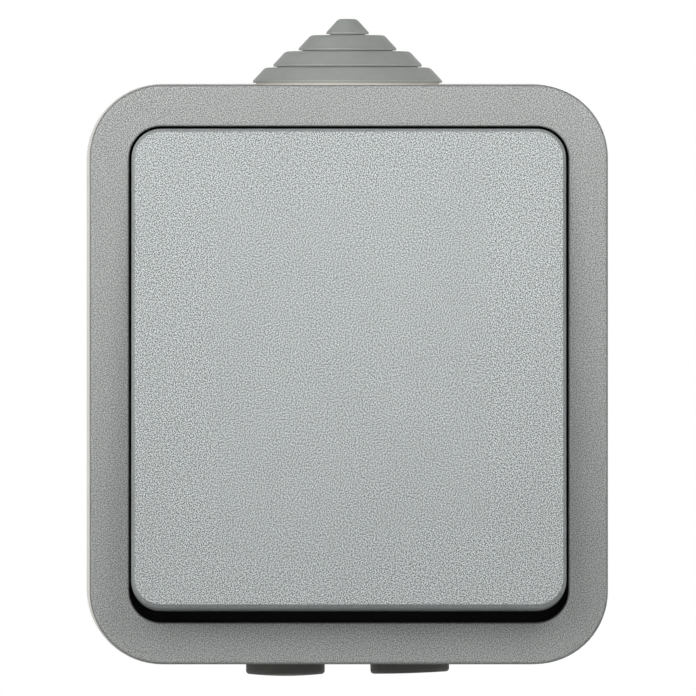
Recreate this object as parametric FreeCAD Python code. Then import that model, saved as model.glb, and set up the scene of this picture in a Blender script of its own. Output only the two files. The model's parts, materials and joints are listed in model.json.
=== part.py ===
import FreeCAD
import Part

import math
import os

# A surface-mounted weatherproof light switch. A back box screws to the wall, and a cover with a
# deep well screws onto the box. One wide rocker key fills the well and works a single-pole snap
# switch behind it. A stepped cable grommet closes the top, and two blanking plugs the bottom.
#
# Frame: the origin is the centre of the back, the wall is the plane Y = 0, the front faces -Y and
# +Z is up. "Depth" always means the distance out from the wall, so depth d lies at Y = -d.
# "Back" and "front" are depths too. Lengths are millimetres and angles are degrees.

# Housing outline, seen from the front
OUTLINE_WIDTH = 68.0
OUTLINE_HEIGHT = 76.0
OUTLINE_CORNER = 9.55

# Back box
BOX_DEPTH = 33.2
BOX_DRAFT = 0.9
BOX_WALL = 2.4
BOX_FLOOR = 2.4
REAR_RIM = 3.5
REAR_RECESS = 0.8
REAR_RIB = 1.6
REAR_CHAMFER = 0.5
REAR_ENTRY_RADIUS = 8.0
REAR_ENTRY_RIM = 2.0

# Holes for the screws into the wall
WALL_HOLE_SPACING_X = 50.0
WALL_HOLE_SPACING_Z = 30.0
WALL_HOLE_RADIUS = 2.25
WALL_COLLAR_RADIUS = 4.75
WALL_COLLAR_HEIGHT = 1.6

# Pillars that take the cover screws, and the screws
PILLAR_INSET_SIDE = 11.5
PILLAR_INSET_END = 12.0
PILLAR_RADIUS = 3.5
PILLAR_RIB = 1.6
COVER_BOSS_LENGTH = 3.0
COVER_SCREW_RADIUS = 1.5
COVER_SCREW_LENGTH = 16.0
COVER_SCREW_HEAD_RADIUS = 2.8
COVER_SCREW_HEAD_HEIGHT = 2.0

# Cover frame
COVER_DEPTH = 10.8
COVER_FACE = 2.0
COVER_SKIRT = 2.0
COVER_LIP = 0.9
COVER_EDGE_RADIUS = 0.45
BORDER_SIDE = 5.18
BORDER_END = 5.45
OPENING_CORNER = 4.2
OPENING_EDGE_RADIUS = 0.28
WELL_DEPTH = 8.0
WELL_WALL = 1.5
WELL_FLOOR = 2.0
WINDOW_WIDTH = 26.0
WINDOW_HEIGHT = 14.0
WINDOW_CORNER = 2.0
WINDOW_RIM_WALL = 1.2
WINDOW_RIM_HEIGHT = 1.6

# Seals
GASKET_THICKNESS = 0.8
GASKET_CLEARANCE = 0.1
WINDOW_SEAL_DEPTH = 4.5
WINDOW_SEAL_WALL = 1.7
WINDOW_SEAL_MARGIN = 0.3

# Rocker key
KEY_GAP_SIDE = 0.25
KEY_GAP_END = 1.0
KEY_RISE = 3.0
KEY_FACE = 2.0
KEY_SKIRT_DEPTH = 7.0
KEY_SKIRT_WALL = 1.6
KEY_DRAFT = 0.8
KEY_EDGE_BEVEL = 0.4
KEY_RIB = 1.2
KEY_RIB_HEIGHT = 2.0
KEY_RIB_X = 17.0
KEY_RIB_Z = 20.0
KEY_HOOK_WIDTH = 10.0
KEY_HOOK_WALL = 1.6
KEY_HOOK_BARB = 0.7
KEY_HOOK_BARB_HEIGHT = 1.4
KEY_HOOK_CLEARANCE = 0.1

# Rocker pivot: the key tips this far each way from square, and rests with its top end in
PIVOT_SETBACK = 12.4
ROCKER_TILT = 4.0

# Cradle that the key clips onto
CRADLE_WIDTH = 17.2
CRADLE_PLATE = 2.4
CRADLE_PLATE_HEIGHT = 20.0
CRADLE_STEM_HEIGHT = 7.4
CRADLE_TUBE_RADIUS = 3.4
TRUNNION_RADIUS = 2.5
TRUNNION_CLEARANCE = 0.05
TRUNNION_LENGTH = 2.7

# Mechanism base and bridge
MECH_WIDTH = 28.0
MECH_HEIGHT = 42.0
MECH_CORNER = 1.5
MECH_BASE_DEPTH = 16.0
MECH_FLOOR = 2.0
CHAMBER_WIDTH = 10.0
CHAMBER_END_WALL = 1.5
CORE_WALL = 2.0
CORE_HEIGHT = 26.0
EAR_LENGTH = 7.0
EAR_WIDTH = 9.0
EAR_THICKNESS = 3.0
EAR_HOLE_INSET = 3.5
BRIDGE_THICKNESS = 2.5
BRIDGE_WINDOW_WIDTH = 8.0
BRIDGE_WINDOW_HEIGHT = 11.0
CHEEK_GAP = 0.4
CHEEK_WALL = 2.8
CHEEK_RADIUS = 4.2
CHEEK_SLOT = 4.0
FIXING_CLEARANCE = 0.05
THROUGH_CLEARANCE = 0.2

# Screws of the mechanism
MECH_SCREW_RADIUS = 1.5
MECH_SCREW_LENGTH = 7.5
MECH_SCREW_HEAD_RADIUS = 2.8
MECH_SCREW_HEAD_HEIGHT = 2.0
MECH_POST_RADIUS = 3.5
BRIDGE_SCREW_RADIUS = 1.25
BRIDGE_SCREW_LENGTH = 11.0
BRIDGE_SCREW_HEAD_RADIUS = 2.2
BRIDGE_SCREW_HEAD_HEIGHT = 1.5
BRIDGE_SCREW_INSET = 3.2
TERMINAL_SCREW_RADIUS = 1.75
TERMINAL_SCREW_HEAD_RADIUS = 2.5
TERMINAL_SCREW_HEAD_HEIGHT = 1.7
TERMINAL_ACCESS_CLEARANCE = 0.3
CROSS_SLOT_WIDTH = 0.7
CROSS_SLOT_SHARE = 1.3
CROSS_SLOT_DEPTH_SHARE = 0.55
HEAD_ROUND_SHARE = 0.4
PILOT_SPARE = 1.0

# Terminals, contacts and the contact lever
BLOCK_WIDTH = 9.0
BLOCK_LENGTH = 5.6
BLOCK_DEPTH = 10.0
BLOCK_CLEARANCE = 0.1
WIRE_RADIUS = 1.6
WIRE_HEIGHT = 4.0
WIRE_ENTRY_CLEARANCE = 0.2
STRIP_WIDTH = 6.0
STRIP_THICKNESS = 1.2
LOAD_STRIP_OVERHANG = 3.5
FULCRUM_HEIGHT = 3.2
FULCRUM_WALL = 1.2
LEVER_WIDTH = 5.6
LEVER_THICKNESS = 1.0
LEVER_GROOVE_DEPTH = 0.4
LEVER_GROOVE_HALF = 0.8
LEVER_GAP = 0.1
LEVER_END_GAP = 0.8
LEVER_SHORT_ARM = 7.0
LEVER_TILT = 6.0
CONTACT_INSET = 2.0
CONTACT_RADIUS = 1.6
CONTACT_HEAD = 0.8
CONTACT_STEM_RADIUS = 0.8
CONTACT_STEM_CLEARANCE = 0.02
CONTACT_GAP = 0.1

# Spring plunger in the cradle tube
PLUNGER_RADIUS = 2.0
PLUNGER_CLEARANCE = 0.1
PLUNGER_LENGTH = 10.0
PLUNGER_TIP_GAP = 0.25
SPRING_WIRE_RADIUS = 0.25
SPRING_RADIUS = 1.45
SPRING_TURNS = 7
SPRING_END_GAP = 0.05
TUBE_END_SETBACK = 5.0
TUBE_BORE_LENGTH = 14.8

# Stepped cable grommet: ring radii from the widest ring up to the tip
RING_RADII = (12.5, 9.8, 6.45, 2.8)
RING_PITCH = 2.14
RING_GROOVE = 0.15
RING_GROOVE_DEPTH = 0.5
RING_LIP = 0.25
RING_SLOPE_RUN = 1.6
RING_ROUND = 0.9
GROMMET_HOLE_RADIUS = 7.2
GROMMET_SEAT_INSET = 0.4
GROMMET_CLEARANCE = 0.05
GROMMET_WALL = 1.3
GROMMET_TIP_SKIN = 1.1
GROMMET_TIP_BORE = 0.7
GROMMET_FLANGE_RADIUS = 9.0
GROMMET_FLANGE = 1.5

# Blanking plugs in the bottom wall
PLUG_SPACING = 16.42
PLUG_HOLE_RADIUS = 3.6
PLUG_CLEARANCE = 0.05
PLUG_HEAD_RADIUS = 5.2
PLUG_EDGE_RADIUS = 0.45
PLUG_BARB = 0.7
PLUG_BARB_HEIGHT = 1.2
PLUG_BORE_RADIUS = 2.2
PLUG_RIM_LEFT = 1.03
PLUG_RIM_RIGHT = 0.87
PLUG_DOME_LEFT = 0.3
PLUG_DOME_RIGHT = 0.1
PLUG_SKEW_RIGHT = 1.9

# Depths and sizes that follow from the above
FRONT = BOX_DEPTH + COVER_DEPTH
FLOOR_FRONT = FRONT - WELL_DEPTH
FLOOR_BACK = FLOOR_FRONT - WELL_FLOOR
PILLAR_TOP = FLOOR_BACK - COVER_BOSS_LENGTH
OPENING_WIDTH = OUTLINE_WIDTH - 2 * BORDER_SIDE
OPENING_HEIGHT = OUTLINE_HEIGHT - 2 * BORDER_END
KEY_FRONT = FRONT + KEY_RISE
KEY_UNDERSIDE = KEY_FRONT - KEY_FACE
KEY_BACK = KEY_FRONT - KEY_SKIRT_DEPTH
KEY_WIDTH = OPENING_WIDTH - 2 * KEY_GAP_SIDE
KEY_HEIGHT = OPENING_HEIGHT - 2 * KEY_GAP_END
KEY_CORNER = OPENING_CORNER - KEY_GAP_SIDE
PIVOT = KEY_FRONT - PIVOT_SETBACK
CRADLE_PLATE_BACK = KEY_UNDERSIDE - CRADLE_PLATE
CHEEK_INNER = CRADLE_WIDTH / 2 + CHEEK_GAP
CHEEK_OUTER = CHEEK_INNER + CHEEK_WALL
BRIDGE_FRONT = FLOOR_BACK - WINDOW_SEAL_DEPTH
MECH_FRONT = BRIDGE_FRONT - BRIDGE_THICKNESS
MECH_BACK = MECH_FRONT - MECH_BASE_DEPTH
CHAMBER_BACK = MECH_BACK + MECH_FLOOR
CHAMBER_HEIGHT = MECH_HEIGHT - 2 * CHAMBER_END_WALL
STRIP_FRONT = CHAMBER_BACK + STRIP_THICKNESS
FULCRUM = STRIP_FRONT + FULCRUM_HEIGHT
LEVER_BACK = FULCRUM - LEVER_GROOVE_DEPTH + LEVER_GAP
LEVER_FRONT = LEVER_BACK + LEVER_THICKNESS
BLOCK_FRONT = CHAMBER_BACK + BLOCK_DEPTH
BLOCK_OUTER = CHAMBER_HEIGHT / 2 - BLOCK_CLEARANCE
BLOCK_INNER = BLOCK_OUTER - BLOCK_LENGTH
BLOCK_MIDDLE = (BLOCK_OUTER + BLOCK_INNER) / 2
LEVER_LONG_ARM = BLOCK_INNER - LEVER_END_GAP
CONTACT_ARM = LEVER_LONG_ARM - CONTACT_INSET
LOAD_STRIP_REACH = CONTACT_ARM - LOAD_STRIP_OVERHANG
WIRE_DEPTH = CHAMBER_BACK + WIRE_HEIGHT
EAR_SCREW_Z = MECH_HEIGHT / 2 + EAR_LENGTH - EAR_HOLE_INSET
PLUNGER_TIP = LEVER_FRONT + PLUNGER_TIP_GAP
PLUNGER_BACK_END = PLUNGER_TIP + PLUNGER_LENGTH
TUBE_END = PLUNGER_TIP + TUBE_END_SETBACK
TUBE_SEAT = TUBE_END + TUBE_BORE_LENGTH
TUBE_BORE_RADIUS = PLUNGER_RADIUS + PLUNGER_CLEARANCE
BOX_FLARE = BOX_DEPTH * math.tan(math.radians(BOX_DRAFT))
ENTRY_DEPTH = BOX_DEPTH / 2
WALL_INSIDE = OUTLINE_HEIGHT / 2 - BOX_WALL
WALL_OUTSIDE = OUTLINE_HEIGHT / 2 + BOX_FLARE

SIDES = (-1, 1)
PILLARS = [
    (x * (OUTLINE_WIDTH / 2 - PILLAR_INSET_SIDE), z * (OUTLINE_HEIGHT / 2 - PILLAR_INSET_END))
    for x in SIDES
    for z in SIDES
]
WALL_HOLES = [
    (x * WALL_HOLE_SPACING_X / 2, z * WALL_HOLE_SPACING_Z / 2) for x in SIDES for z in SIDES
]
EAR_SCREWS = [(0.0, z * EAR_SCREW_Z) for z in SIDES]
BRIDGE_SCREWS = [
    (x * (MECH_WIDTH / 2 - BRIDGE_SCREW_INSET), z * (MECH_HEIGHT / 2 - BRIDGE_SCREW_INSET))
    for x in SIDES
    for z in SIDES
]
TERMINAL_SCREWS = [(0.0, z * BLOCK_MIDDLE) for z in SIDES]

FORWARD = FreeCAD.Vector(0, -1, 0)
RIGHT = FreeCAD.Vector(1, 0, 0)
UP = FreeCAD.Vector(0, 0, 1)


# Shapes that several pieces share


def point(x, depth, z):
    """A point at that distance out from the wall."""
    return FreeCAD.Vector(x, -depth, z)


def rounded_outline(width, height, corner, depth, x=0.0, z=0.0):
    """Closed wire of a rectangle with round corners, centred on x and z, at that depth."""
    arcs = []
    for sign_x, sign_z, start in ((1, 1, 0), (-1, 1, 90), (-1, -1, 180), (1, -1, 270)):
        centre_x = x + sign_x * (width / 2 - corner)
        centre_z = z + sign_z * (height / 2 - corner)
        angles = [math.radians(start + turn) for turn in (0, 45, 90)]
        ends = [
            point(centre_x + corner * math.cos(a), depth, centre_z + corner * math.sin(a))
            for a in angles
        ]
        arcs.append((ends, Part.Arc(*ends).toShape()))
    edges = []
    for (ends, arc), (next_ends, _) in zip(arcs, arcs[1:] + arcs[:1]):
        edges.append(arc)
        edges.append(Part.LineSegment(ends[2], next_ends[0]).toShape())
    return Part.Wire(edges)


def plate(width, height, corner, back, front, x=0.0, z=0.0):
    """Rounded rectangle that fills the depths from back to front."""
    face = Part.Face(rounded_outline(width, height, corner, back, x, z))
    return face.extrude(FORWARD * (front - back))


def tapered_plate(width, height, corner, back, front, draft):
    """Plate whose sides lean in by the draft angle. The sizes are those at its back."""
    inset = (front - back) * math.tan(math.radians(draft))
    outlines = [
        rounded_outline(width, height, corner, back),
        rounded_outline(width - 2 * inset, height - 2 * inset, corner - inset, front),
    ]
    return Part.makeLoft(outlines, True, True)


def post(x, z, radius, back, front):
    """Round bar that points out from the wall."""
    return Part.makeCylinder(radius, front - back, point(x, back, z), FORWARD)


def block(x_low, x_high, z_low, z_high, back, front):
    """Rectangular bar between two depths."""
    size = (x_high - x_low, front - back, z_high - z_low)
    return Part.makeBox(*size, point(x_low, front, z_low))


def upright(x, depth, radius, z_low, z_high):
    """Round bar that stands along Z."""
    return Part.makeCylinder(radius, z_high - z_low, point(x, depth, z_low), UP)


def crosswise(x_low, x_high, depth, z, radius):
    """Round bar that lies along X."""
    return Part.makeCylinder(radius, x_high - x_low, point(x_low, depth, z), RIGHT)


def prism(profile, x_low, x_high):
    """Polygon of (z, depth) corners, drawn out along X."""
    corners = [point(x_low, depth, z) for z, depth in profile]
    face = Part.Face(Part.makePolygon(corners + corners[:1]))
    return face.extrude(RIGHT * (x_high - x_low))


def turned(profile, x, depth):
    """Polygon of (radius, z) corners, turned about the vertical axis at x and depth."""
    corners = [point(x + radius, depth, z) for radius, z in profile]
    face = Part.Face(Part.makePolygon(corners + corners[:1]))
    return face.revolve(point(x, depth, 0), UP, 360)


def edges_at(shape, test):
    """The edges whose every vertex passes the test."""
    return [e for e in shape.Edges if all(test(v.Point) for v in e.Vertexes)]


def outline_edges(shape, depth, width, height):
    """The edges at that depth whose middle lies on the outside of a width by height outline."""
    found = []
    for edge in edges_at(shape, lambda p: abs(p.y + depth) < 1e-4):
        middle = edge.valueAt((edge.FirstParameter + edge.LastParameter) / 2)
        share_x = abs(middle.x) / (width / 2)
        share_z = abs(middle.z) / (height / 2)
        straight = max(share_x, share_z) > 1 - 1e-4
        round_corner = edge.Curve.TypeId != "Part::GeomLine" and min(share_x, share_z) > 0.5
        if straight or round_corner:
            found.append(edge)
    return found


def tilted(shape, angle, depth):
    """The shape turned about the line along X at that depth. A positive angle lowers the front."""
    copy = shape.copy()
    copy.rotate(point(0, depth, 0), RIGHT, angle)
    return copy


def screw(x, z, seat, head_radius, head_height, radius, length):
    """Pan-head screw with a cross recess. Its head sits in front of the seat."""
    head = post(x, z, head_radius, seat, seat + head_height)
    rim = edges_at(head, lambda p: abs(p.y + seat + head_height) < 1e-4)
    head = head.makeFillet(HEAD_ROUND_SHARE * head_height, rim)
    slot_back = seat + head_height * (1 - CROSS_SLOT_DEPTH_SHARE)
    long_half = CROSS_SLOT_SHARE * head_radius / 2
    short_half = CROSS_SLOT_WIDTH / 2
    for half_x, half_z in ((long_half, short_half), (short_half, long_half)):
        slot = block(x - half_x, x + half_x, z - half_z, z + half_z, slot_back, seat + head_height)
        head = head.cut(slot)
    return head.fuse(post(x, z, radius, seat - length, seat)).removeSplitter()


def screws(places, seat, head_radius, head_height, radius, length):
    """One group of equal screws."""
    made = [screw(x, z, seat, head_radius, head_height, radius, length) for x, z in places]
    return Part.makeCompound(made)


# Housing


def box_body():
    """Outside of the back box as a solid: widest at the wall, with a chamfered rear edge."""
    outline = (OUTLINE_WIDTH, OUTLINE_HEIGHT, OUTLINE_CORNER)
    rear = [size + 2 * BOX_FLARE for size in outline[:2]] + [OUTLINE_CORNER + BOX_FLARE]
    body = tapered_plate(*rear, 0, BOX_DEPTH, BOX_DRAFT)
    return body.makeChamfer(REAR_CHAMFER, outline_edges(body, 0, *rear[:2]))


def back_box():
    """Open box against the wall, with its screw pillars, mechanism posts and cable entries."""
    outline = (OUTLINE_WIDTH, OUTLINE_HEIGHT, OUTLINE_CORNER)
    inner = [size - 2 * BOX_WALL for size in outline[:2]] + [OUTLINE_CORNER - BOX_WALL]
    hollow = plate(*inner, BOX_FLOOR, BOX_DEPTH)
    rear_entry = post(0, 0, REAR_ENTRY_RADIUS, 0, BOX_FLOOR)
    box = box_body().cut(hollow).cut(rear_recess()).cut(rear_entry)
    for x, z in PILLARS:
        pillar = post(x, z, PILLAR_RADIUS, BOX_FLOOR, PILLAR_TOP)
        wall_x = math.copysign(OUTLINE_WIDTH / 2 - BOX_WALL / 2, x)
        rib_x = sorted((x, wall_x))
        rib = block(*rib_x, z - PILLAR_RIB / 2, z + PILLAR_RIB / 2, BOX_FLOOR, PILLAR_TOP)
        box = box.fuse(pillar).fuse(rib)
    for x, z in EAR_SCREWS:
        box = box.fuse(post(x, z, MECH_POST_RADIUS, BOX_FLOOR, MECH_BACK))
    for x, z in WALL_HOLES:
        collar = post(x, z, WALL_COLLAR_RADIUS, BOX_FLOOR, BOX_FLOOR + WALL_COLLAR_HEIGHT)
        box = box.fuse(collar)
    for x, z in WALL_HOLES:
        box = box.cut(post(x, z, WALL_HOLE_RADIUS, 0, BOX_FLOOR + WALL_COLLAR_HEIGHT))
    cover_screw_tip = FLOOR_FRONT - COVER_SCREW_LENGTH - PILOT_SPARE
    for x, z in PILLARS:
        pilot_radius = COVER_SCREW_RADIUS + FIXING_CLEARANCE
        box = box.cut(post(x, z, pilot_radius, cover_screw_tip, PILLAR_TOP))
    mech_screw_tip = MECH_BACK + EAR_THICKNESS - MECH_SCREW_LENGTH - PILOT_SPARE
    for x, z in EAR_SCREWS:
        pilot_radius = MECH_SCREW_RADIUS + FIXING_CLEARANCE
        box = box.cut(post(x, z, pilot_radius, mech_screw_tip, MECH_BACK))
    seat_radius = RING_RADII[0] - GROMMET_SEAT_INSET
    box = box.fuse(upright(0, ENTRY_DEPTH, seat_radius, WALL_INSIDE, WALL_OUTSIDE))
    box = box.cut(upright(0, ENTRY_DEPTH, GROMMET_HOLE_RADIUS, WALL_INSIDE, WALL_OUTSIDE))
    for side in SIDES:
        x = side * PLUG_SPACING / 2
        box = box.cut(upright(x, ENTRY_DEPTH, PLUG_HOLE_RADIUS, -WALL_OUTSIDE, -WALL_INSIDE))
    return box.removeSplitter()


def rear_recess():
    """Shallow hollow in the back that leaves a rim, ribs and a pad round each hole."""
    recess = plate(
        OUTLINE_WIDTH - 2 * REAR_RIM,
        OUTLINE_HEIGHT - 2 * REAR_RIM,
        OUTLINE_CORNER - REAR_RIM,
        0,
        REAR_RECESS,
    )
    half_width = OUTLINE_WIDTH / 2
    half_height = OUTLINE_HEIGHT / 2
    half_rib = REAR_RIB / 2
    for side in SIDES:
        x = side * WALL_HOLE_SPACING_X / 2
        z = side * WALL_HOLE_SPACING_Z / 2
        recess = recess.cut(block(x - half_rib, x + half_rib, -half_height, half_height, 0, REAR_RECESS))
        recess = recess.cut(block(-half_width, half_width, z - half_rib, z + half_rib, 0, REAR_RECESS))
    for x, z in WALL_HOLES:
        recess = recess.cut(post(x, z, WALL_COLLAR_RADIUS, 0, REAR_RECESS))
    return recess.cut(post(0, 0, REAR_ENTRY_RADIUS + REAR_ENTRY_RIM, 0, REAR_RECESS))


def cover_frame():
    """Front frame with the well that the key sits in, its window and its screw bosses."""
    outline = (OUTLINE_WIDTH, OUTLINE_HEIGHT, OUTLINE_CORNER)
    opening = (OPENING_WIDTH, OPENING_HEIGHT, OPENING_CORNER)
    cover = plate(*outline, BOX_DEPTH, FRONT)
    cover = cover.makeFillet(
        COVER_EDGE_RADIUS, outline_edges(cover, FRONT, OUTLINE_WIDTH, OUTLINE_HEIGHT)
    )
    skirt_inside = [size - 2 * COVER_SKIRT for size in outline[:2]] + [OUTLINE_CORNER - COVER_SKIRT]
    well_outside = [size + 2 * WELL_WALL for size in opening[:2]] + [OPENING_CORNER + WELL_WALL]
    hollow = plate(*skirt_inside, BOX_DEPTH, FRONT - COVER_FACE)
    cover = cover.cut(hollow.cut(plate(*well_outside, FLOOR_BACK, FRONT)))
    cover = cover.cut(plate(*opening, FLOOR_FRONT, FRONT))
    lip_inside = [size - 2 * COVER_LIP for size in outline[:2]] + [OUTLINE_CORNER - COVER_LIP]
    rebate = plate(*lip_inside, BOX_DEPTH, BOX_DEPTH + GASKET_THICKNESS)
    cover = cover.cut(rebate.cut(plate(*well_outside, FLOOR_BACK, FRONT)))
    cover = cover.makeFillet(
        OPENING_EDGE_RADIUS, outline_edges(cover, FRONT, OPENING_WIDTH, OPENING_HEIGHT)
    )
    window = (WINDOW_WIDTH, WINDOW_HEIGHT, WINDOW_CORNER)
    rim_outside = [size + 2 * WINDOW_RIM_WALL for size in window[:2]] + [WINDOW_CORNER + WINDOW_RIM_WALL]
    cover = cover.fuse(plate(*rim_outside, FLOOR_FRONT, FLOOR_FRONT + WINDOW_RIM_HEIGHT))
    cover = cover.cut(plate(*window, FLOOR_BACK, FLOOR_FRONT + WINDOW_RIM_HEIGHT))
    for x, z in PILLARS:
        cover = cover.fuse(post(x, z, PILLAR_RADIUS, PILLAR_TOP, FLOOR_BACK))
    for x, z in PILLARS:
        hole_radius = COVER_SCREW_RADIUS + THROUGH_CLEARANCE
        cover = cover.cut(post(x, z, hole_radius, PILLAR_TOP, FLOOR_FRONT))
    return cover.removeSplitter()


def cover_gasket():
    """Flat ring seal between the box rim and the cover, inside the cover's lip."""
    inset = COVER_LIP + GASKET_CLEARANCE
    outside = (OUTLINE_WIDTH - 2 * inset, OUTLINE_HEIGHT - 2 * inset, OUTLINE_CORNER - inset)
    inside = (
        OUTLINE_WIDTH - 2 * BOX_WALL,
        OUTLINE_HEIGHT - 2 * BOX_WALL,
        OUTLINE_CORNER - BOX_WALL,
    )
    depths = (BOX_DEPTH, BOX_DEPTH + GASKET_THICKNESS)
    return plate(*outside, *depths).cut(plate(*inside, *depths))


def window_seal():
    """Rubber collar that joins the bridge to the back of the cover, round the window."""
    inside = (
        WINDOW_WIDTH + 2 * WINDOW_SEAL_MARGIN,
        WINDOW_HEIGHT + 2 * WINDOW_SEAL_MARGIN,
        WINDOW_CORNER + WINDOW_SEAL_MARGIN,
    )
    outside = [size + 2 * WINDOW_SEAL_WALL for size in inside[:2]] + [inside[2] + WINDOW_SEAL_WALL]
    return plate(*outside, BRIDGE_FRONT, FLOOR_BACK).cut(plate(*inside, BRIDGE_FRONT, FLOOR_BACK))


def grommet_profile():
    """Outside of the grommet in (radius, z) corners, from its inner flange up to the tip."""
    neck = GROMMET_HOLE_RADIUS - GROMMET_CLEARANCE
    profile = [
        (GROMMET_FLANGE_RADIUS, WALL_INSIDE - GROMMET_FLANGE),
        (GROMMET_FLANGE_RADIUS, WALL_INSIDE),
        (neck, WALL_INSIDE),
        (neck, WALL_OUTSIDE),
    ]
    for index, radius in enumerate(RING_RADII):
        low = WALL_OUTSIDE + index * RING_PITCH
        high = low + RING_PITCH - RING_GROOVE
        if index:
            profile.append((radius - RING_GROOVE_DEPTH, low - RING_GROOVE))
            profile.append((radius - RING_GROOVE_DEPTH, low))
        profile.append((radius, low))
        profile.append((radius, low + RING_LIP))
        profile.append((radius - RING_SLOPE_RUN, high))
    return profile


def cable_grommet():
    """Stepped rubber cone in the top entry, hollow, with a skin over its tip to be cut."""
    tip = WALL_OUTSIDE + len(RING_RADII) * RING_PITCH - RING_GROOVE
    bottom = WALL_INSIDE - GROMMET_FLANGE
    bore = GROMMET_HOLE_RADIUS - GROMMET_WALL
    inside = [(bore, bottom), (bore, WALL_OUTSIDE), (GROMMET_TIP_BORE, tip - GROMMET_TIP_SKIN)]
    profile = grommet_profile() + [(0, tip), (0, tip - GROMMET_TIP_SKIN)] + inside[::-1]
    grommet = turned(profile, 0, ENTRY_DEPTH)
    tops = [
        WALL_OUTSIDE + (index + 1) * RING_PITCH - RING_GROOVE for index in range(len(RING_RADII))
    ]
    crests = [
        edge
        for edge in grommet.Edges
        for radius, top in zip(RING_RADII, tops)
        if edge.Curve.TypeId == "Part::GeomCircle"
        and abs(edge.Curve.Center.z - top) < 1e-4
        and abs(edge.Curve.Radius - (radius - RING_SLOPE_RUN)) < 1e-4
    ]
    return grommet.makeFillet(RING_ROUND, crests)


def blanking_plug(side, rim_height, dome, skew):
    """Rubber plug in a bottom entry. Its head bulges by the dome and leans by the skew angle."""
    x = side * PLUG_SPACING / 2
    neck = PLUG_HOLE_RADIUS - PLUG_CLEARANCE
    inner_end = -WALL_INSIDE + PLUG_BARB_HEIGHT
    stem = turned(
        [
            (0, -WALL_OUTSIDE),
            (neck, -WALL_OUTSIDE),
            (neck, -WALL_INSIDE),
            (neck + PLUG_BARB, -WALL_INSIDE),
            (neck, inner_end),
            (0, inner_end),
        ],
        x,
        ENTRY_DEPTH,
    )
    head_end = -WALL_OUTSIDE - rim_height - dome
    head = upright(x, ENTRY_DEPTH, PLUG_HEAD_RADIUS, head_end, -WALL_INSIDE)
    dome_radius = (PLUG_HEAD_RADIUS**2 + dome**2) / (2 * dome)
    head = head.common(Part.makeSphere(dome_radius, point(x, ENTRY_DEPTH, head_end + dome_radius)))
    rim = [e for e in head.Edges if e.isClosed() and e.BoundBox.ZMax < -WALL_OUTSIDE]
    head = head.makeFillet(PLUG_EDGE_RADIUS, rim)
    head.rotate(point(x, ENTRY_DEPTH, -WALL_OUTSIDE), FORWARD, skew)
    head = head.cut(box_body())
    bore = upright(x, ENTRY_DEPTH, PLUG_BORE_RADIUS, -WALL_OUTSIDE, inner_end)
    return stem.fuse(head).cut(bore).removeSplitter()


# Rocker: modelled square to the wall, then tipped to rest


def rocker_key():
    """Wide key with a drafted skirt, stiffening ribs and two hooks that hold the cradle."""
    outline = (KEY_WIDTH, KEY_HEIGHT, KEY_CORNER)
    solid = tapered_plate(*outline, KEY_BACK, KEY_FRONT, KEY_DRAFT)
    front_rim = edges_at(solid, lambda p: abs(p.y + KEY_FRONT) < 1e-4)
    solid = solid.makeChamfer(KEY_EDGE_BEVEL, front_rim)
    inside = [size - 2 * KEY_SKIRT_WALL for size in outline[:2]] + [KEY_CORNER - KEY_SKIRT_WALL]
    key = solid.cut(tapered_plate(*inside, KEY_BACK, KEY_UNDERSIDE, KEY_DRAFT))
    rib_back = KEY_UNDERSIDE - KEY_RIB_HEIGHT
    half_rib = KEY_RIB / 2
    for side in SIDES:
        x = side * KEY_RIB_X
        z = side * KEY_RIB_Z
        long_rib = block(x - half_rib, x + half_rib, -KEY_HEIGHT / 2, KEY_HEIGHT / 2, rib_back, KEY_FRONT)
        cross_rib = block(-KEY_WIDTH / 2, KEY_WIDTH / 2, z - half_rib, z + half_rib, rib_back, KEY_FRONT)
        key = key.fuse(long_rib.common(solid)).fuse(cross_rib.common(solid))
        key = key.fuse(key_hook(side))
    return key.removeSplitter()


def key_hook(side):
    """Springy hook behind the key, with a barb that snaps under the cradle plate."""
    inner = CRADLE_PLATE_HEIGHT / 2 + KEY_HOOK_CLEARANCE
    outer = inner + KEY_HOOK_WALL
    barb = inner - KEY_HOOK_BARB - KEY_HOOK_CLEARANCE
    under = CRADLE_PLATE_BACK - KEY_HOOK_CLEARANCE
    end = under - KEY_HOOK_BARB_HEIGHT
    profile = [
        (outer, KEY_UNDERSIDE),
        (outer, end),
        (inner, end),
        (barb, under),
        (inner, under),
        (inner, KEY_UNDERSIDE),
    ]
    profile = [(side * z, depth) for z, depth in profile]
    return prism(profile, -KEY_HOOK_WIDTH / 2, KEY_HOOK_WIDTH / 2)


def rocker_cradle():
    """Inner rocker: a plate under the key, trunnions at the pivot and the plunger tube."""
    half_width = CRADLE_WIDTH / 2
    half_plate = CRADLE_PLATE_HEIGHT / 2
    half_stem = CRADLE_STEM_HEIGHT / 2
    cradle = block(-half_width, half_width, -half_plate, half_plate, CRADLE_PLATE_BACK, KEY_UNDERSIDE)
    stem_back = PIVOT - TRUNNION_RADIUS
    cradle = cradle.fuse(
        block(-half_width, half_width, -half_stem, half_stem, stem_back, CRADLE_PLATE_BACK)
    )
    pin_end = half_width + TRUNNION_LENGTH
    cradle = cradle.fuse(crosswise(-pin_end, pin_end, PIVOT, 0, TRUNNION_RADIUS))
    cradle = cradle.fuse(post(0, 0, CRADLE_TUBE_RADIUS, TUBE_END, PIVOT))
    cradle = cradle.cut(post(0, 0, TUBE_BORE_RADIUS, TUBE_END, TUBE_SEAT))
    return cradle.removeSplitter()


def contact_plunger():
    """Round-nosed plunger that slides in the cradle tube and pushes on the contact lever."""
    nose_centre = PLUNGER_TIP + PLUNGER_RADIUS
    body = post(0, 0, PLUNGER_RADIUS, nose_centre, PLUNGER_BACK_END)
    nose = Part.makeSphere(PLUNGER_RADIUS, point(0, nose_centre, 0))
    return body.fuse(nose).removeSplitter()


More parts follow.
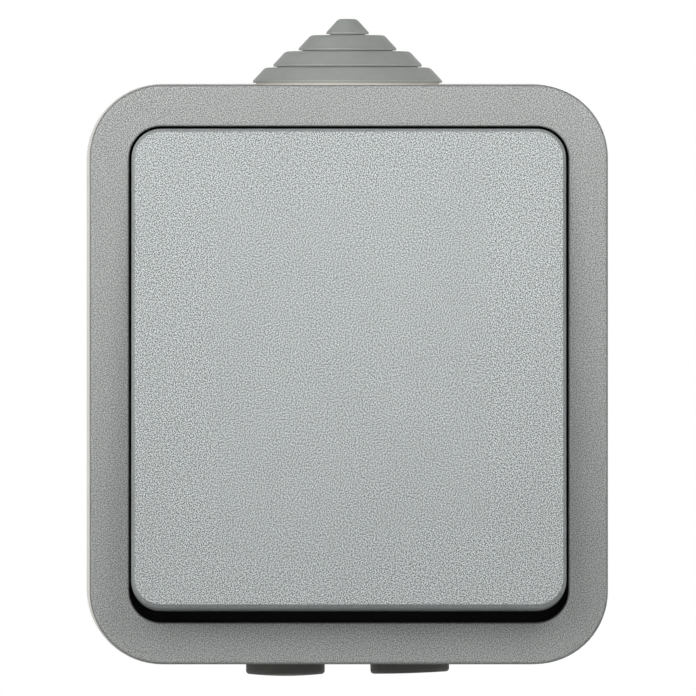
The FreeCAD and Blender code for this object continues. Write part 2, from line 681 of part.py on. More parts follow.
def plunger_spring():
    """Open coil spring between the plunger and the end of the tube bore."""
    back = PLUNGER_BACK_END + SPRING_END_GAP + SPRING_WIRE_RADIUS
    front = TUBE_SEAT - SPRING_END_GAP - SPRING_WIRE_RADIUS
    pitch = (front - back) / SPRING_TURNS
    path = Part.makeHelix(pitch, front - back, SPRING_RADIUS)
    start = FreeCAD.Vector(SPRING_RADIUS, 0, 0)
    section = Part.Wire(Part.makeCircle(SPRING_WIRE_RADIUS, start, FreeCAD.Vector(0, 1, 0)))
    spring = Part.Wire(path.Edges).makePipeShell([section], True, True)
    spring.rotate(FreeCAD.Vector(0, 0, 0), RIGHT, 90)
    spring.translate(point(0, back, 0))
    return spring


# Switch mechanism


def mechanism_base():
    """Insulating tray that holds the terminals, with cored sides and two screw ears."""
    base = plate(MECH_WIDTH, MECH_HEIGHT, MECH_CORNER, MECH_BACK, MECH_FRONT)
    ear_span = MECH_HEIGHT + 2 * EAR_LENGTH
    ears = plate(EAR_WIDTH, ear_span, MECH_CORNER, MECH_BACK, MECH_BACK + EAR_THICKNESS)
    base = base.fuse(ears)
    half_chamber = CHAMBER_WIDTH / 2
    half_length = CHAMBER_HEIGHT / 2
    base = base.cut(
        block(-half_chamber, half_chamber, -half_length, half_length, CHAMBER_BACK, MECH_FRONT)
    )
    core_front = MECH_FRONT - CORE_WALL
    core_x = (half_chamber + CORE_WALL, MECH_WIDTH / 2 - CORE_WALL)
    for side in SIDES:
        core_span = sorted(side * x for x in core_x)
        base = base.cut(block(*core_span, -CORE_HEIGHT / 2, CORE_HEIGHT / 2, MECH_BACK, core_front))
    for x, z in EAR_SCREWS:
        hole_radius = MECH_SCREW_RADIUS + THROUGH_CLEARANCE
        base = base.cut(post(x, z, hole_radius, MECH_BACK, MECH_BACK + EAR_THICKNESS))
    pilot_back = BRIDGE_FRONT - BRIDGE_SCREW_LENGTH - PILOT_SPARE
    for x, z in BRIDGE_SCREWS:
        base = base.cut(post(x, z, BRIDGE_SCREW_RADIUS + FIXING_CLEARANCE, pilot_back, MECH_FRONT))
    entry_radius = WIRE_RADIUS + WIRE_ENTRY_CLEARANCE
    base = base.cut(upright(0, WIRE_DEPTH, entry_radius, -MECH_HEIGHT / 2, MECH_HEIGHT / 2))
    return base.removeSplitter()


def mechanism_bridge():
    """Plate that closes the base, with two cheeks that the cradle's trunnions snap into."""
    bridge = plate(MECH_WIDTH, MECH_HEIGHT, MECH_CORNER, MECH_FRONT, BRIDGE_FRONT)
    bridge = bridge.cut(
        plate(BRIDGE_WINDOW_WIDTH, BRIDGE_WINDOW_HEIGHT, MECH_CORNER, MECH_FRONT, BRIDGE_FRONT)
    )
    for side in SIDES:
        x_low, x_high = sorted((side * CHEEK_INNER, side * CHEEK_OUTER))
        cheek = block(x_low, x_high, -CHEEK_RADIUS, CHEEK_RADIUS, BRIDGE_FRONT, PIVOT)
        cheek = cheek.fuse(crosswise(x_low, x_high, PIVOT, 0, CHEEK_RADIUS))
        bore = crosswise(x_low, x_high, PIVOT, 0, TRUNNION_RADIUS + TRUNNION_CLEARANCE)
        half_slot = CHEEK_SLOT / 2
        slot = block(x_low, x_high, -half_slot, half_slot, PIVOT, PIVOT + CHEEK_RADIUS)
        bridge = bridge.fuse(cheek.cut(bore).cut(slot))
    for x, z in BRIDGE_SCREWS:
        hole_radius = BRIDGE_SCREW_RADIUS + THROUGH_CLEARANCE
        bridge = bridge.cut(post(x, z, hole_radius, MECH_FRONT, BRIDGE_FRONT))
    for x, z in TERMINAL_SCREWS:
        access_radius = TERMINAL_SCREW_HEAD_RADIUS + TERMINAL_ACCESS_CLEARANCE
        bridge = bridge.cut(post(x, z, access_radius, MECH_FRONT, BRIDGE_FRONT))
    return bridge.removeSplitter()


def terminal_block(side):
    """Brass block at one end of the chamber, with its wire bore and screw hole."""
    z_low, z_high = sorted((side * BLOCK_INNER, side * BLOCK_OUTER))
    half_width = BLOCK_WIDTH / 2
    made = block(-half_width, half_width, z_low, z_high, CHAMBER_BACK, BLOCK_FRONT)
    made = made.cut(upright(0, WIRE_DEPTH, WIRE_RADIUS, z_low, z_high))
    screw_radius = TERMINAL_SCREW_RADIUS + FIXING_CLEARANCE
    return made.cut(post(0, side * BLOCK_MIDDLE, screw_radius, WIRE_DEPTH, BLOCK_FRONT))


def common_terminal():
    """Upper terminal: its strip runs to the middle and ends in the lever's knife edge."""
    half_strip = STRIP_WIDTH / 2
    half_wall = FULCRUM_WALL / 2
    strip = block(-half_strip, half_strip, -half_wall, BLOCK_INNER, CHAMBER_BACK, STRIP_FRONT)
    knife = prism(
        [
            (-half_wall, STRIP_FRONT),
            (half_wall, STRIP_FRONT),
            (half_wall, FULCRUM - FULCRUM_WALL),
            (0, FULCRUM),
            (-half_wall, FULCRUM - FULCRUM_WALL),
        ],
        -half_strip,
        half_strip,
    )
    return terminal_block(1).fuse(strip).fuse(knife).removeSplitter()


def load_terminal():
    """Lower terminal: its short strip carries the fixed contact."""
    half_strip = STRIP_WIDTH / 2
    strip = block(-half_strip, half_strip, -BLOCK_INNER, -LOAD_STRIP_REACH, CHAMBER_BACK, STRIP_FRONT)
    hole_radius = CONTACT_STEM_RADIUS + CONTACT_STEM_CLEARANCE
    terminal = terminal_block(-1).fuse(strip)
    return terminal.cut(post(0, -CONTACT_ARM, hole_radius, CHAMBER_BACK, STRIP_FRONT)).removeSplitter()


def fixed_contact():
    """Silver rivet in the load terminal. It stands just short of the moving contact at rest."""
    tilt = math.radians(LEVER_TILT)
    fall = CONTACT_ARM * math.sin(tilt)
    rise = (LEVER_BACK - CONTACT_HEAD - FULCRUM) * math.cos(tilt)
    edge_drop = CONTACT_RADIUS * math.sin(tilt)
    top = FULCRUM + rise - fall - edge_drop - CONTACT_GAP
    stem = post(0, -CONTACT_ARM, CONTACT_STEM_RADIUS, CHAMBER_BACK, STRIP_FRONT)
    return stem.fuse(post(0, -CONTACT_ARM, CONTACT_RADIUS, STRIP_FRONT, top)).removeSplitter()


def contact_lever():
    """Brass see-saw with a groove at its pivot and a hole for the moving contact."""
    profile = [
        (-LEVER_LONG_ARM, LEVER_BACK),
        (-LEVER_GROOVE_HALF, LEVER_BACK),
        (0, LEVER_BACK + LEVER_GROOVE_DEPTH),
        (LEVER_GROOVE_HALF, LEVER_BACK),
        (LEVER_SHORT_ARM, LEVER_BACK),
        (LEVER_SHORT_ARM, LEVER_FRONT),
        (-LEVER_LONG_ARM, LEVER_FRONT),
    ]
    lever = prism(profile, -LEVER_WIDTH / 2, LEVER_WIDTH / 2)
    hole_radius = CONTACT_STEM_RADIUS + CONTACT_STEM_CLEARANCE
    return lever.cut(post(0, -CONTACT_ARM, hole_radius, LEVER_BACK, LEVER_FRONT))


def moving_contact():
    """Silver rivet in the lever, facing the fixed contact."""
    stem = post(0, -CONTACT_ARM, CONTACT_STEM_RADIUS, LEVER_BACK, LEVER_FRONT)
    head = post(0, -CONTACT_ARM, CONTACT_RADIUS, LEVER_BACK - CONTACT_HEAD, LEVER_BACK)
    return stem.fuse(head).removeSplitter()


def terminal_screws():
    """Clamp screws, backed out to the edge of the wire bores."""
    seat = BLOCK_FRONT
    length = BLOCK_FRONT - WIRE_DEPTH - WIRE_RADIUS
    head = (TERMINAL_SCREW_HEAD_RADIUS, TERMINAL_SCREW_HEAD_HEIGHT)
    return screws(TERMINAL_SCREWS, seat, *head, TERMINAL_SCREW_RADIUS, length)


def rocker_rest(shape):
    """A rocker piece tipped to rest: the top end of the key in, the bottom end out."""
    return tilted(shape, -ROCKER_TILT, PIVOT)


def lever_rest(shape):
    """A lever piece tipped to rest: its long lower arm back against the fixed contact."""
    return tilted(shape, LEVER_TILT, FULCRUM)


def pieces():
    """Every piece by its name, where it lies at rest."""
    cover_head = (COVER_SCREW_HEAD_RADIUS, COVER_SCREW_HEAD_HEIGHT)
    mech_head = (MECH_SCREW_HEAD_RADIUS, MECH_SCREW_HEAD_HEIGHT)
    bridge_head = (BRIDGE_SCREW_HEAD_RADIUS, BRIDGE_SCREW_HEAD_HEIGHT)
    ear_front = MECH_BACK + EAR_THICKNESS
    return {
        "back_box": back_box(),
        "cover_frame": cover_frame(),
        "cover_gasket": cover_gasket(),
        "cover_screws": screws(PILLARS, FLOOR_FRONT, *cover_head, COVER_SCREW_RADIUS, COVER_SCREW_LENGTH),
        "window_seal": window_seal(),
        "cable_grommet": cable_grommet(),
        "blanking_plug_left": blanking_plug(-1, PLUG_RIM_LEFT, PLUG_DOME_LEFT, 0.0),
        "blanking_plug_right": blanking_plug(1, PLUG_RIM_RIGHT, PLUG_DOME_RIGHT, PLUG_SKEW_RIGHT),
        "mechanism_base": mechanism_base(),
        "mechanism_bridge": mechanism_bridge(),
        "mechanism_screws": screws(EAR_SCREWS, ear_front, *mech_head, MECH_SCREW_RADIUS, MECH_SCREW_LENGTH),
        "bridge_screws": screws(
            BRIDGE_SCREWS, BRIDGE_FRONT, *bridge_head, BRIDGE_SCREW_RADIUS, BRIDGE_SCREW_LENGTH
        ),
        "common_terminal": common_terminal(),
        "load_terminal": load_terminal(),
        "terminal_screws": terminal_screws(),
        "fixed_contact": fixed_contact(),
        "rocker_key": rocker_rest(rocker_key()),
        "rocker_cradle": rocker_rest(rocker_cradle()),
        "plunger_spring": rocker_rest(plunger_spring()),
        "contact_plunger": rocker_rest(contact_plunger()),
        "contact_lever": lever_rest(contact_lever()),
        "moving_contact": lever_rest(moving_contact()),
    }


def main():
    os.makedirs("parts", exist_ok=True)
    for name, shape in pieces().items():
        shape.exportStep(os.path.join("parts", name + ".step"))
        print(name, "solids", len(shape.Solids), "valid", shape.isValid(), "volume", round(shape.Volume, 2))


main()
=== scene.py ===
import json
import math

import bpy
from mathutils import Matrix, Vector

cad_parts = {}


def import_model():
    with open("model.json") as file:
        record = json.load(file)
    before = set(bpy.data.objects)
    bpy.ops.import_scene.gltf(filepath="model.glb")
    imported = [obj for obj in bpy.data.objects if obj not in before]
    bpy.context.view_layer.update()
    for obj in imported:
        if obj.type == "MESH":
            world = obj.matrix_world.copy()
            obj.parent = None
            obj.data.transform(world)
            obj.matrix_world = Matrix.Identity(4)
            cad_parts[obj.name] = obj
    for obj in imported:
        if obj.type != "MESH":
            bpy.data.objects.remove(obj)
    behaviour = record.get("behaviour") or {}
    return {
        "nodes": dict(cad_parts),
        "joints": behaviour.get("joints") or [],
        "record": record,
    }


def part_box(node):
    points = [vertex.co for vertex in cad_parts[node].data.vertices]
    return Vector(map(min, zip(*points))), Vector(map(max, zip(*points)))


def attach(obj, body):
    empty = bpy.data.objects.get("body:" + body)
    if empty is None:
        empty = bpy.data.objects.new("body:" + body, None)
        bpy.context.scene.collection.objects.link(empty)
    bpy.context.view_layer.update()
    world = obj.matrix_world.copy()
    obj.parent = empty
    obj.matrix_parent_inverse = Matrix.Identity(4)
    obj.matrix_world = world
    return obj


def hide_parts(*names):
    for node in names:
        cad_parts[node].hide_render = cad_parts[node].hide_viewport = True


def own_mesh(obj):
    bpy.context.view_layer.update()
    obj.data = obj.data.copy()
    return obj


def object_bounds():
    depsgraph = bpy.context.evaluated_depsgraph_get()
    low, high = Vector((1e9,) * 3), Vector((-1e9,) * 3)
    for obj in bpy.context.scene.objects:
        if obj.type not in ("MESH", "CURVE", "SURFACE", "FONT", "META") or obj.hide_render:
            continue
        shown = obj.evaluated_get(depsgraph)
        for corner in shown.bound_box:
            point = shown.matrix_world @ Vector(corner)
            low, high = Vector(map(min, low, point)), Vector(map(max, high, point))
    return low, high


# The looks of a surface-mounted weatherproof switch: textured grey plastics outside, rubber cone
# and plugs, and brass, steel and silver inside. Everything is in metres in the part's own frame:
# the front faces -Y, +Z is up and the wall is the plane Y = 0.

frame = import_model()
cad_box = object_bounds()

# Where the photograph puts the front of the cover frame, in its 696 by 696 pixels
IMAGE_PIXELS = 696
FRAME_LEFT_PX = 89.6
FRAME_RIGHT_PX = 608.0
FRAME_TOP_PX = 84.8
FRAME_BOTTOM_PX = 664.1

# Camera: a very long lens, a little to the left of the front
LENS_MM = 1500.0
SENSOR_MM = 36.0
YAW_DEG = 0.35
CLIP_START = 0.1

# What the lamps face
FRONT_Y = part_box("cover_frame")[0].y
FRONT_MIDDLE = (0, FRONT_Y, 0)
FRONT_UPPER = (0, FRONT_Y, 0.02)
BODY_MIDDLE = (0, -0.02, 0)
BACK_MIDDLE = (0, 0, 0)

# Square lamps: where each stands, what it faces, its side and its power in watts. The rear ones only
# fill the back, so they show in no gloss.
LAMPS = {
    "near_left": ((-0.065, -0.15, 0.075), FRONT_UPPER, 0.10, 0.097),
    "near_right": ((0.065, -0.15, 0.075), FRONT_UPPER, 0.10, 0.113),
    "broad_left": ((-0.40, -0.20, 0.05), FRONT_MIDDLE, 0.30, 0.87),
    "low_right": ((0.30, -0.20, -0.02), FRONT_MIDDLE, 0.05, 0.035),
    "front": ((-0.25, -1.0, 0.5), FRONT_MIDDLE, 0.60, 0.18),
    "side_right": ((0.45, 0.12, 0.15), BODY_MIDDLE, 0.25, 0.45),
}
REAR_LAMPS = {
    "rear_left": ((-0.20, 0.55, 0.20), BACK_MIDDLE, 0.25, 1.5),
    "rear_right": ((0.20, 0.55, 0.20), BACK_MIDDLE, 0.25, 1.5),
}

# Surroundings: a weak sky, and a floor that fades to white between two distances from the origin
SKY_COLOUR = (0.92, 0.96, 1.0)
SKY_STRENGTH = 0.02
WHITE_STRENGTH = 1.0
FLOOR_DROP = 0.010
FLOOR_HALF = 0.5
FLOOR_WHITE = (0.80, 0.80, 0.79)
FLOOR_OWN_WHITE = 0.6
FLOOR_FADE = (0.08, 0.30)

# Colours, as linear red, green and blue
FRAME_GREY = (0.335, 0.346, 0.338)
KEY_GREY = (0.406, 0.432, 0.430)
BOX_CREAM = (0.66, 0.635, 0.585)
RUBBER_GREY = (0.318, 0.332, 0.316)
# Painted shade: the plugs' rubber is painted far darker than the grommet's, for the shade under the
# frame
PLUG_SHADED_GREY = (0.058, 0.059, 0.053)
SEAL_BLACK = (0.022, 0.022, 0.022)
# Painted shade: the black that the frame's walls inside the well are painted
WELL_SHADE_BLACK = (0.006, 0.006, 0.006)
MECHANISM_IVORY = (0.70, 0.68, 0.60)
CRADLE_GREY = (0.075, 0.078, 0.082)
SCREW_ZINC = (0.62, 0.61, 0.57)
SPRING_GREY = (0.50, 0.50, 0.50)
BRASS = (0.74, 0.53, 0.22)
SILVER = (0.82, 0.82, 0.79)

# Grain of the outer plastics. Contrasts are shares of the colour, lighter and darker.
GRAIN_SIZE = 0.00014
GRAIN_RELIEF = 0.00004
GRAIN_TURN = 0.5
FRAME_CONTRAST = 0.50
KEY_CONTRAST = 0.78
SIDE_CONTRAST = 0.18
# The sides' colour as a share of the front's: painted shade, darker where the surface turns away from
# the front
SIDE_PAINTED_SHADE = 0.62
DRIFT_SIZE = 0.012
DRIFT = 0.015

# A normal's part towards the front: a side below the first, a front above the second
FRONT_FACING = (0.75, 0.93)

# The range of a noise that its specks, its drift and its clouds spread over
SPECK_RANGE = (0.25, 0.75)
DRIFT_RANGE = (0.3, 0.7)
CLOUD_RANGE = (0.2, 0.8)

# The grain's colour ramp: the plain colour's place, and how far the contrast reaches to each side
RAMP_MIDDLE = 0.6
RAMP_HALF = 0.4

# The well round the key is painted black as shade: how far past the key the painted shade reaches, and
# where it fades in behind the front
WELL_MARGIN = 0.00043
WELL_FADE = (0.0003, 0.0010)

# Plunger spring: the wire's radius, the turns, the points in a turn, and a closed turn's pitch in wires
SPRING_WIRE = 0.00025
SPRING_TURNS = 8
SPRING_STEPS = 32
SPRING_CLOSE = 1.04
WIRE_ROUNDNESS = 3


def camera():
    """Places the camera so that the cover frame fills the same pixels as in the photograph."""
    low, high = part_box("cover_frame")
    width_px = FRAME_RIGHT_PX - FRAME_LEFT_PX
    metres_per_px = (high.x - low.x) / width_px
    view_width = IMAGE_PIXELS * metres_per_px
    distance = LENS_MM / SENSOR_MM * view_width
    right_px = (FRAME_LEFT_PX + FRAME_RIGHT_PX - IMAGE_PIXELS) / 2
    down_px = (FRAME_TOP_PX + FRAME_BOTTOM_PX - IMAGE_PIXELS) / 2
    yaw = math.radians(YAW_DEG)
    forward = Vector((math.sin(yaw), math.cos(yaw), 0))
    sideways = Vector((math.cos(yaw), -math.sin(yaw), 0))
    middle = Vector(((low.x + high.x) / 2, low.y, (low.z + high.z) / 2))
    data = bpy.data.cameras.new("camera")
    data.lens = LENS_MM
    data.sensor_width = SENSOR_MM
    data.clip_start = CLIP_START
    data.clip_end = 2 * distance
    cam = bpy.data.objects.new("camera", data)
    cam.location = middle - forward * distance
    cam.location -= sideways * right_px * metres_per_px
    cam.location.z += down_px * metres_per_px
    cam.rotation_euler = forward.to_track_quat("-Z", "Y").to_euler()
    bpy.context.scene.collection.objects.link(cam)
    bpy.context.scene.camera = cam


def area_light(name, place, target, size, power, glare):
    """Square soft box that faces the target. Without glare no gloss shows it."""
    data = bpy.data.lights.new(name, "AREA")
    data.shape = "SQUARE"
    data.size = size
    data.energy = power
    lamp = bpy.data.objects.new(name, data)
    lamp.location = place
    lamp.visible_glossy = glare
    lamp.rotation_euler = (Vector(target) - Vector(place)).to_track_quat("-Z", "Y").to_euler()
    bpy.context.scene.collection.objects.link(lamp)


def lights():
    """Two lamps close above the front, a broad one on the left, fill on the right and behind."""
    for name, lamp in LAMPS.items():
        area_light(name, *lamp, glare=True)
    for name, lamp in REAR_LAMPS.items():
        area_light(name, *lamp, glare=False)


def seen_directly(nodes, links):
    """1 for the rays of the camera, of a gloss and of glass, 0 for those that only carry light."""
    path = nodes.new("ShaderNodeLightPath")
    seen = path.outputs["Is Camera Ray"]
    for kind in ("Is Glossy Ray", "Is Transmission Ray"):
        either = nodes.new("ShaderNodeMath")
        either.operation = "MAXIMUM"
        links.new(seen, either.inputs[0])
        links.new(path.outputs[kind], either.inputs[1])
        seen = either.outputs[0]
    return seen


def world():
    """White where the camera or a gloss looks past the object, and a weak plain sky for light."""
    shade = bpy.data.worlds.new("studio")
    shade.use_nodes = True
    nodes, links = shade.node_tree.nodes, shade.node_tree.links
    nodes.clear()
    sky = nodes.new("ShaderNodeBackground")
    sky.inputs["Color"].default_value = (*SKY_COLOUR, 1)
    sky.inputs["Strength"].default_value = SKY_STRENGTH
    white = nodes.new("ShaderNodeBackground")
    white.inputs["Color"].default_value = (1, 1, 1, 1)
    white.inputs["Strength"].default_value = WHITE_STRENGTH
    mix = nodes.new("ShaderNodeMixShader")
    links.new(seen_directly(nodes, links), mix.inputs["Fac"])
    links.new(sky.outputs[0], mix.inputs[1])
    links.new(white.outputs[0], mix.inputs[2])
    out = nodes.new("ShaderNodeOutputWorld")
    links.new(mix.outputs[0], out.inputs["Surface"])
    bpy.context.scene.world = shade


def scaled(colour, factor):
    """The colour lighter or darker by a factor, no lighter than white."""
    return tuple(min(1.0, channel * factor) for channel in colour)


class Shader:
    """A node material with the few node chains that the finishes here share."""

    def __init__(self, name, colour, roughness, gloss=0.5, metallic=0.0):
        self.colour = colour
        self.material = bpy.data.materials.new(name)
        self.material.use_nodes = True
        self.nodes = self.material.node_tree.nodes
        self.links = self.material.node_tree.links
        self.surface = self.nodes["Principled BSDF"]
        self.surface.inputs["Base Color"].default_value = (*colour, 1)
        self.surface.inputs["Roughness"].default_value = roughness
        self.surface.inputs["Specular IOR Level"].default_value = gloss
        self.surface.inputs["Metallic"].default_value = metallic
        self.place = self.nodes.new("ShaderNodeTexCoord")

    def noise(self, size, detail=2.0, roughness=0.5, stretch=(1, 1, 1)):
        """Noise whose blotches are about that many metres across."""
        mapping = self.nodes.new("ShaderNodeMapping")
        mapping.inputs["Scale"].default_value = stretch
        self.links.new(self.place.outputs["Object"], mapping.inputs["Vector"])
        texture = self.nodes.new("ShaderNodeTexNoise")
        texture.inputs["Scale"].default_value = 1 / size
        texture.inputs["Detail"].default_value = detail
        texture.inputs["Roughness"].default_value = roughness
        self.links.new(mapping.outputs[0], texture.inputs["Vector"])
        return texture.outputs["Fac"]

    def front_grain(self):
        """Fine specks drawn on the plane of the front."""
        mapping = self.nodes.new("ShaderNodeMapping")
        mapping.inputs["Rotation"].default_value = (math.pi / 2, 0, GRAIN_TURN)
        self.links.new(self.place.outputs["Object"], mapping.inputs["Vector"])
        texture = self.nodes.new("ShaderNodeTexNoise")
        texture.noise_dimensions = "2D"
        texture.inputs["Scale"].default_value = 1 / GRAIN_SIZE
        texture.inputs["Detail"].default_value = 0.0
        self.links.new(mapping.outputs[0], texture.inputs["Vector"])
        return texture.outputs["Fac"]

    def grain(self, front):
        """The front's specks where the surface faces the front, and specks in the round elsewhere."""
        on_front = self.calc("MULTIPLY", self.front_grain(), front)
        side = self.calc("SUBTRACT", 1, front)
        on_side = self.calc("MULTIPLY", self.noise(GRAIN_SIZE, detail=0.0), side)
        return self.calc("ADD", on_front, on_side)

    def remap(self, value, low, high, to_low, to_high, smooth=False):
        """The value from one range moved to another, clamped."""
        node = self.nodes.new("ShaderNodeMapRange")
        node.interpolation_type = "SMOOTHSTEP" if smooth else "LINEAR"
        self.links.new(value, node.inputs["Value"])
        node.inputs["From Min"].default_value = low
        node.inputs["From Max"].default_value = high
        node.inputs["To Min"].default_value = to_low
        node.inputs["To Max"].default_value = to_high
        return node.outputs["Result"]

    def calc(self, operation, first, second):
        """Two values, or a value and a number, put together."""
        node = self.nodes.new("ShaderNodeMath")
        node.operation = operation
        for socket, value in zip(node.inputs, (first, second)):
            if isinstance(value, (int, float)):
                socket.default_value = value
            else:
                self.links.new(value, socket)
        return node.outputs[0]

    def facing_front(self):
        """1 where the surface faces the front of the switch, 0 on its sides."""
        split = self.nodes.new("ShaderNodeSeparateXYZ")
        self.links.new(self.place.outputs["Normal"], split.inputs[0])
        low, high = FRONT_FACING
        return self.remap(split.outputs["Y"], -low, -high, 0, 1, smooth=True)

    def well_shade_mask(self):
        """1 where the well round the key is painted black as shade, rising from 0 just behind the front.
        """
        key_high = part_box("rocker_key")[1]
        split = self.nodes.new("ShaderNodeSeparateXYZ")
        self.links.new(self.place.outputs["Object"], split.inputs[0])
        across = self.calc("ABSOLUTE", split.outputs["X"], 0)
        upright = self.calc("ABSOLUTE", split.outputs["Z"], 0)
        within_x = self.calc("LESS_THAN", across, key_high.x + WELL_MARGIN)
        within_z = self.calc("LESS_THAN", upright, key_high.z + WELL_MARGIN)
        start, end = WELL_FADE
        depth = self.remap(split.outputs["Y"], FRONT_Y + start, FRONT_Y + end, 0, 1, smooth=True)
        return self.calc("MULTIPLY", self.calc("MULTIPLY", within_x, within_z), depth)

    def tint(self, value, *stops):
        """Base colour from a ramp of (place, colour) stops along the value."""
        node = self.nodes.new("ShaderNodeValToRGB")
        ramp = node.color_ramp
        while len(ramp.elements) < len(stops):
            ramp.elements.new(1.0)
        for element, (place, colour) in zip(ramp.elements, stops):
            element.position = place
            element.color = (*colour, 1)
        self.links.new(value, node.inputs["Fac"])
        self.links.new(node.outputs["Color"], self.surface.inputs["Base Color"])

    def cloud(self, noise, darker, lighter):
        """Colour that drifts with the noise between two shares of the plain one."""
        low, high = CLOUD_RANGE
        self.tint(noise, (low, scaled(self.colour, darker)), (high, scaled(self.colour, lighter)))

    def bump(self, height, strength, distance):
        """Relief of that many metres. The strength may be a value."""
        node = self.nodes.new("ShaderNodeBump")
        node.inputs["Distance"].default_value = distance
        self.links.new(height, node.inputs["Height"])
        if isinstance(strength, (int, float)):
            node.inputs["Strength"].default_value = strength
        else:
            self.links.new(strength, node.inputs["Strength"])
        self.links.new(node.outputs[0], self.surface.inputs["Normal"])


def grained_plastic(name, colour, contrast, well_shade=False):
    """Moulded plastic with a spark-eroded grain, fainter on the sides, which are painted darker as
    shade. The well, if asked for, is painted black as shade.
    """
    shader = Shader(name, colour, roughness=0.55, gloss=0.25)
    front = shader.facing_front()
    specks = shader.grain(front)
    share = shader.remap(front, 0, 1, SIDE_CONTRAST / contrast, 1)
    speckle = shader.calc("MULTIPLY", shader.remap(specks, *SPECK_RANGE, -RAMP_HALF, RAMP_HALF), share)
    ramp_per_share = RAMP_HALF / contrast
    drift = DRIFT * ramp_per_share
    drifting = shader.remap(shader.noise(DRIFT_SIZE), *DRIFT_RANGE, -drift, drift)
    # Painted shade: the sides are painted darker than the front
    shade = shader.remap(front, 0, 1, (SIDE_PAINTED_SHADE - 1) * ramp_per_share, 0)
    level = shader.calc("ADD", shader.calc("ADD", speckle, drifting), shade)
    level = shader.calc("ADD", level, RAMP_MIDDLE)
    stops = [
        (RAMP_MIDDLE - RAMP_HALF, scaled(colour, 1 - contrast)),
        (RAMP_MIDDLE, colour),
        (RAMP_MIDDLE + RAMP_HALF, scaled(colour, 1 + contrast)),
    ]
    if well_shade:
        # Painted shade: the well round the key is painted black in place of its shade
        level = shader.calc("MULTIPLY", level, shader.remap(shader.well_shade_mask(), 0, 1, 1, 0))
        stops.insert(0, (0.0, WELL_SHADE_BLACK))
    shader.tint(level, *stops)
    shader.bump(specks, share, GRAIN_RELIEF)
    return shader.material


def smooth_plastic(name, colour):
    """Moulded plastic with the faint unevenness of a polished tool."""
    shader = Shader(name, colour, roughness=0.42, gloss=0.3)
    shader.cloud(shader.noise(size=0.010, detail=3.0), darker=0.98, lighter=1.02)
    shader.bump(shader.noise(size=0.0012), strength=0.25, distance=0.00003)
    return shader.material


def rubber(name, colour):
    """Moulded rubber: matt, with a slight bloom and a soft skin."""
    shader = Shader(name, colour, roughness=0.62)
    shader.cloud(shader.noise(size=0.004, detail=4.0, roughness=0.6), darker=0.92, lighter=1.08)
    shader.bump(shader.noise(size=0.0006), strength=0.3, distance=0.00002)
    return shader.material


def metal(name, colour, roughness, brush=(1, 1, 1)):
    """Metal with fine tool marks. The brush stretches them."""
    shader = Shader(name, colour, roughness, metallic=1.0)
    marks = shader.noise(size=0.0005, detail=3.0, roughness=0.6, stretch=brush)
    shader.cloud(marks, darker=0.88, lighter=1.08)
    shader.bump(marks, strength=0.25, distance=0.00002)
    return shader.material


def finishes():
    """Gives every node the material of its slot, and returns the materials by slot."""
    made = {
        "frame_plastic": grained_plastic("frame_plastic", FRAME_GREY, FRAME_CONTRAST, well_shade=True),
        "key_plastic": grained_plastic("key_plastic", KEY_GREY, KEY_CONTRAST),
        "box_plastic": smooth_plastic("box_plastic", BOX_CREAM),
        "grommet_rubber": rubber("grommet_rubber", RUBBER_GREY),
        "plug_rubber": rubber("plug_rubber", PLUG_SHADED_GREY),
        "seal_rubber": rubber("seal_rubber", SEAL_BLACK),
        "mechanism_plastic": smooth_plastic("mechanism_plastic", MECHANISM_IVORY),
        "cradle_plastic": smooth_plastic("cradle_plastic", CRADLE_GREY),
        "screw_steel": metal("screw_steel", SCREW_ZINC, roughness=0.34),
        "spring_steel": metal("spring_steel", SPRING_GREY, roughness=0.30),
        "terminal_brass": metal("terminal_brass", BRASS, roughness=0.33, brush=(0.1, 1, 1)),
        "contact_silver": metal("contact_silver", SILVER, roughness=0.28),
    }
    for entry in frame["record"]["subparts"]:
        node = frame["nodes"][entry["node"]]
        node.data.materials.clear()
        node.data.materials.append(made[entry["material_slot"]])
    return made


def coil_points(length):
    """Height and angle of each point along a coil whose first and last turns lie closed."""
    closed = 2 * SPRING_WIRE * SPRING_CLOSE
    pitch = (length - 2 * closed) / (SPRING_TURNS - 2)
    for step in range(SPRING_TURNS * SPRING_STEPS + 1):
        turn = step / SPRING_STEPS
        if turn < 1:
            height = turn * closed
        elif turn > SPRING_TURNS - 1:
            height = length - (SPRING_TURNS - turn) * closed
        else:
            height = closed + (turn - 1) * pitch
        yield height, 2 * math.pi * turn


def wire_mesh(places):
    """Closed round wire along the places."""
    curve = bpy.data.curves.new("coil_line", "CURVE")
    curve.dimensions = "3D"
    curve.bevel_depth = SPRING_WIRE
    curve.bevel_resolution = WIRE_ROUNDNESS
    curve.use_fill_caps = True
    spline = curve.splines.new("POLY")
    spline.points.add(len(places) - 1)
    for point, place in zip(spline.points, places):
        point.co = (*place, 1)
    line = bpy.data.objects.new("coil_line", curve)
    mesh = bpy.data.meshes.new_from_object(line)
    bpy.data.objects.remove(line)
    mesh.polygons.foreach_set("use_smooth", [True] * len(mesh.polygons))
    mesh.materials.clear()
    return mesh


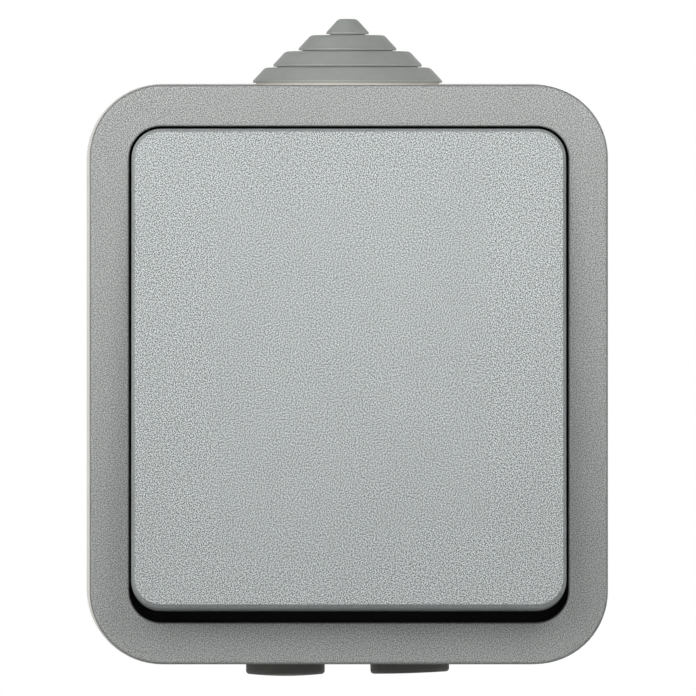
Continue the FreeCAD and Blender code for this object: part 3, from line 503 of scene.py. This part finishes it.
def coil_spring(material):
    """Spring with closed ends in place of the plain helix, moving with the rocker."""
    joints = {joint["name"]: joint for joint in frame["joints"]}
    slide = joints["plunger_slide"]
    axis = Vector(slide["axis"]).normalized()
    pivot = Vector(joints["rocker_tilt"]["pos_m"])
    sideways = Vector((1, 0, 0))
    upwards = axis.cross(sideways)
    points = [vertex.co - pivot for vertex in frame["nodes"]["plunger_spring"].data.vertices]
    plunger_end = min(point.dot(axis) for point in points)
    seat_end = max(point.dot(axis) for point in points)
    radius = max(point.x for point in points) - SPRING_WIRE
    length = seat_end - plunger_end
    first = pivot + axis * (plunger_end + SPRING_WIRE)
    places = []
    for height, angle in coil_points(length - 2 * SPRING_WIRE):
        outwards = sideways * math.cos(angle) + upwards * math.sin(angle)
        places.append(first + axis * height + outwards * radius)
    mesh = wire_mesh(places)
    mesh.materials.append(material)
    piece = bpy.data.objects.new("coil_spring", mesh)
    bpy.context.scene.collection.objects.link(piece)
    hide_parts("plunger_spring")
    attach(piece, "rocker")
    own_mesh(piece)


def floor_paper():
    """Pale paper that keeps the shadow near the object and fades to the white around it."""
    shader = Shader("floor_paper", FLOOR_WHITE, roughness=0.9, gloss=0.0)
    shader.cloud(shader.noise(size=0.03), darker=0.99, lighter=1.01)
    white = shader.nodes.new("ShaderNodeEmission")
    mix = shader.nodes.new("ShaderNodeMixShader")
    seen = seen_directly(shader.nodes, shader.links)
    away = shader.nodes.new("ShaderNodeVectorMath")
    away.operation = "LENGTH"
    shader.links.new(shader.place.outputs["Object"], away.inputs[0])
    own = shader.remap(away.outputs["Value"], *FLOOR_FADE, FLOOR_OWN_WHITE, 1.0, smooth=True)
    shader.links.new(shader.calc("MULTIPLY", seen, own), mix.inputs["Fac"])
    shader.links.new(shader.surface.outputs[0], mix.inputs[1])
    shader.links.new(white.outputs[0], mix.inputs[2])
    shader.links.new(mix.outputs[0], shader.nodes["Material Output"].inputs["Surface"])
    return shader.material


def floor():
    """Pale square floor, a little below the plugs."""
    level = cad_box[0].z - FLOOR_DROP
    signs = ((-1, -1), (1, -1), (1, 1), (-1, 1))
    corners = [(x * FLOOR_HALF, y * FLOOR_HALF, level) for x, y in signs]
    mesh = bpy.data.meshes.new("floor")
    mesh.from_pydata(corners, [], [(0, 1, 2, 3)])
    plane = bpy.data.objects.new("floor", mesh)
    bpy.context.scene.collection.objects.link(plane)
    mesh.materials.append(floor_paper())


bpy.context.scene.view_settings.view_transform = "Standard"
materials = finishes()
coil_spring(materials["spring_steel"])
floor()
world()
lights()
camera()
